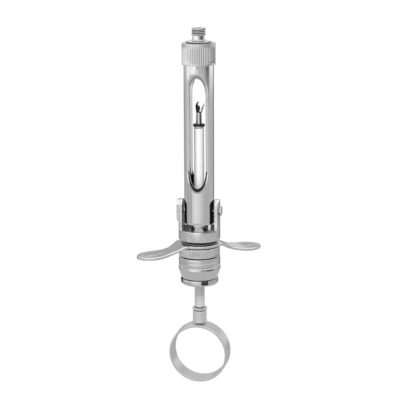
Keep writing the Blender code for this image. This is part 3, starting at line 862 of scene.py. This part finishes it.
# Brightness of the studio by azimuth from CAMERA_AZIMUTH, in degrees. The bands stay where they
# are when another view moves the camera. Surfaces near the needle end mirror the studio's walls;
# those lower down mirror the table round the object.
WALL_BANDS = [
    (-180.0, 0.35), (-150.0, 0.5), (-110.0, 0.5), (-100.0, 1.15), (-28.0, 1.1), (-16.0, 0.35),
    (-4.0, 0.3), (10.0, 0.5), (50.0, 0.5), (57.0, 0.08), (84.0, 0.12), (92.0, 1.0), (130.0, 1.0),
    (145.0, 0.2), (180.0, 0.35),
]
TABLE_BANDS = [
    (-180.0, 0.35), (-150.0, 0.3), (-120.0, 0.5), (-88.0, 0.4), (-80.0, 0.55), (-66.0, 0.36),
    (-54.0, 0.68), (-35.0, 0.8), (-8.0, 0.76), (12.0, 0.64), (45.0, 0.46), (100.0, 0.5),
    (130.0, 0.46), (150.0, 0.15), (180.0, 0.35),
]
# What the needle hub mirrors, higher up the same wall.
HUB_BANDS = [
    (-180.0, 0.3), (-125.0, 0.4), (-95.0, 1.0), (-20.0, 1.1), (0.0, 0.9), (14.0, 0.5),
    (24.0, 0.05), (72.0, 0.04), (85.0, 0.25), (108.0, 0.08), (125.0, 0.8), (145.0, 0.8),
    (180.0, 0.3),
]
CEILING_LEVEL = 1.1
SHELF_LEVEL = 0.95
UPPER_LEVEL = 0.44
# Heights of the studio's zones, as the sine of the elevation: (start, end) of each blend.
TABLE_TO_WALL = (-0.16, -0.147)
WALL_TO_HUB = (-0.13, -0.122)
HUB_TO_SHELF = (0.0, 0.08)
SHELF_TO_UPPER = (0.15, 0.22)
UPPER_TO_CEILING = (0.45, 0.7)


def band_ramp(tree, azimuth, bands):
    """A colour ramp that gives the bands' brightness all round the object."""
    node = tree.nodes.new("ShaderNodeValToRGB")
    stops = []
    for angle, level in bands[:-1]:
        stops.append((((CAMERA_AZIMUTH + 90.0 + angle) / 360.0) % 1.0, level))
    stops.sort()
    (first, first_level), (last, last_level) = stops[0], stops[-1]
    wrap = last_level + (first_level - last_level) * (1.0 - last) / (1.0 - last + first)
    stops = [(0.0, wrap)] + stops + [(1.0, wrap)]
    ramp = node.color_ramp
    while len(ramp.elements) < len(stops):
        ramp.elements.new(0.5)
    for element, (position, level) in zip(ramp.elements, stops):
        element.position = position
        element.color = (level, level, level, 1.0)
    tree.links.new(azimuth, node.inputs["Fac"])
    return node.outputs["Color"]


def blend_by_height(tree, height, span, below, above):
    """Mix two colours as height passes through span; a plain number stands for a grey."""
    mix = tree.nodes.new("ShaderNodeMix")
    mix.data_type = "RGBA"
    colours = [socket for socket in mix.inputs if socket.type == "RGBA"]
    for socket, value in zip(colours, (below, above)):
        if isinstance(value, float):
            socket.default_value = (value, value, value, 1.0)
        else:
            tree.links.new(value, socket)
    tree.links.new(remap(tree, height, 0.0, 1.0, *span), mix.inputs["Factor"])
    return [socket for socket in mix.outputs if socket.type == "RGBA"][0]


def make_world():
    """A white backdrop to the camera, and a banded studio to everything that reflects it."""
    world = bpy.data.worlds.new("studio")
    world.use_nodes = True
    tree = world.node_tree
    tree.nodes.clear()
    coordinates = tree.nodes.new("ShaderNodeTexCoord")
    split = tree.nodes.new("ShaderNodeSeparateXYZ")
    tree.links.new(coordinates.outputs["Generated"], split.inputs["Vector"])
    angle = tree.nodes.new("ShaderNodeMath")
    angle.operation = "ARCTAN2"
    tree.links.new(split.outputs["Y"], angle.inputs[0])
    tree.links.new(split.outputs["X"], angle.inputs[1])
    azimuth = remap(tree, angle.outputs["Value"], 0.0, 1.0, -math.pi, math.pi)
    height = split.outputs["Z"]
    table = band_ramp(tree, azimuth, TABLE_BANDS)
    wall = band_ramp(tree, azimuth, WALL_BANDS)
    studio = blend_by_height(tree, height, TABLE_TO_WALL, table, wall)
    hub = band_ramp(tree, azimuth, HUB_BANDS)
    studio = blend_by_height(tree, height, WALL_TO_HUB, studio, hub)
    studio = blend_by_height(tree, height, HUB_TO_SHELF, studio, SHELF_LEVEL)
    studio = blend_by_height(tree, height, SHELF_TO_UPPER, studio, UPPER_LEVEL)
    studio = blend_by_height(tree, height, UPPER_TO_CEILING, studio, CEILING_LEVEL)
    lit = tree.nodes.new("ShaderNodeBackground")
    tree.links.new(studio, lit.inputs["Color"])
    white = tree.nodes.new("ShaderNodeBackground")
    white.inputs["Color"].default_value = (1.0, 1.0, 1.0, 1.0)
    mix = tree.nodes.new("ShaderNodeMixShader")
    output = tree.nodes.new("ShaderNodeOutputWorld")
    rays = tree.nodes.new("ShaderNodeLightPath")
    tree.links.new(rays.outputs["Is Camera Ray"], mix.inputs[0])
    tree.links.new(lit.outputs["Background"], mix.inputs[1])
    tree.links.new(white.outputs["Background"], mix.inputs[2])
    tree.links.new(mix.outputs["Shader"], output.inputs["Surface"])
    bpy.context.scene.world = world


def make_lamp():
    """A soft lamp high in front, hidden from reflections."""
    data = bpy.data.lights.new("soft_lamp", "AREA")
    data.shape = "DISK"
    data.size = LAMP_SIZE * MM
    data.energy = LAMP_POWER
    made = bpy.data.objects.new("soft_lamp", data)
    turn = Matrix.Rotation(math.radians(LAMP_AZIMUTH), 4, "Z")
    turn = turn @ Matrix.Rotation(math.radians(LAMP_FROM_ZENITH), 4, "X")
    made.matrix_world = turn @ Matrix.Translation((0.0, 0.0, LAMP_DISTANCE * MM))
    made.visible_glossy = False
    bpy.context.collection.objects.link(made)


def main():
    make_camera()
    make_world()
    make_lamp()
    make_floor()
    make_barrel()
    make_cap()
    make_adaptor()
    make_yoke()
    make_pivot_screws()
    make_handle_stack()
    make_sleeve()
    make_spring()
    make_finger_grip()
    make_plunger()
    make_harpoon()
    make_ring()
    dress_cad_nodes()


main()
